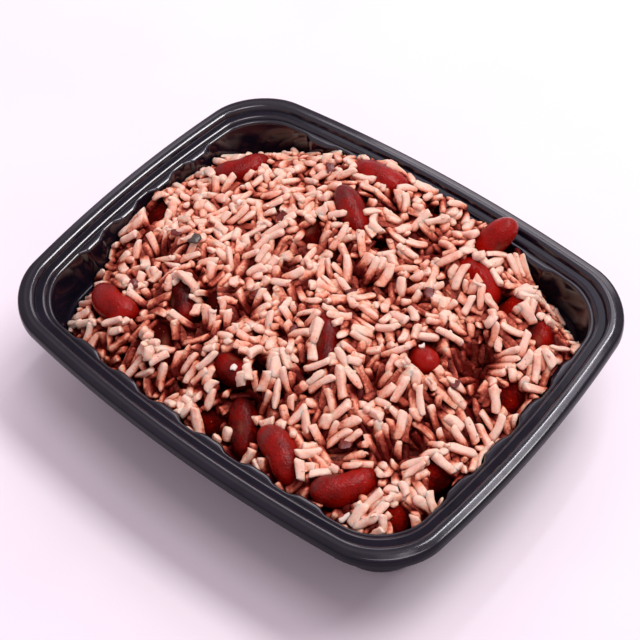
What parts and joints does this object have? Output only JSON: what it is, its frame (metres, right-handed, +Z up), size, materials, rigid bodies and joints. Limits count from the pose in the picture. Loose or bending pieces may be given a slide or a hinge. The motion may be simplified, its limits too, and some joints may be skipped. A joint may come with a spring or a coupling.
{
  "type": "takeaway tray of rice and red kidney beans",
  "caption": "Oblong black plastic takeaway tray with a stepped rim and fluted walls, heaped with pink-stained long-grain rice and glossy red kidney beans.",
  "frame": {"origin": "on the surface that the tray stands on, under the middle of the tray", "axes": "+X along the tray's long side, +Y across it, +Z up"},
  "size_m": [0.15, 0.1184, 0.0439],
  "materials": {
    "tray": "glossy, purple-black",
    "rice": "moist, pink-stained; stands in for cooked rice",
    "bean": "glossy wrinkled skin, deep red; stands in for cooked bean"
  },
  "bodies": {
    "root": {"tray": "tray", "rice": "rice", "bean_01": "bean", "bean_02": "bean", "bean_03": "bean", "bean_04": "bean", "bean_05": "bean", "bean_06": "bean", "bean_07": "bean", "bean_08": "bean", "bean_09": "bean", "bean_10": "bean", "bean_11": "bean", "bean_12": "bean", "bean_13": "bean", "bean_14": "bean", "bean_15": "bean", "bean_16": "bean", "bean_17": "bean", "bean_18": "bean", "bean_19": "bean", "bean_20": "bean", "bean_21": "bean", "bean_22": "bean", "bean_23": "bean", "bean_24": "bean", "bean_25": "bean", "bean_26": "bean"}
  },
  "joints": []
}
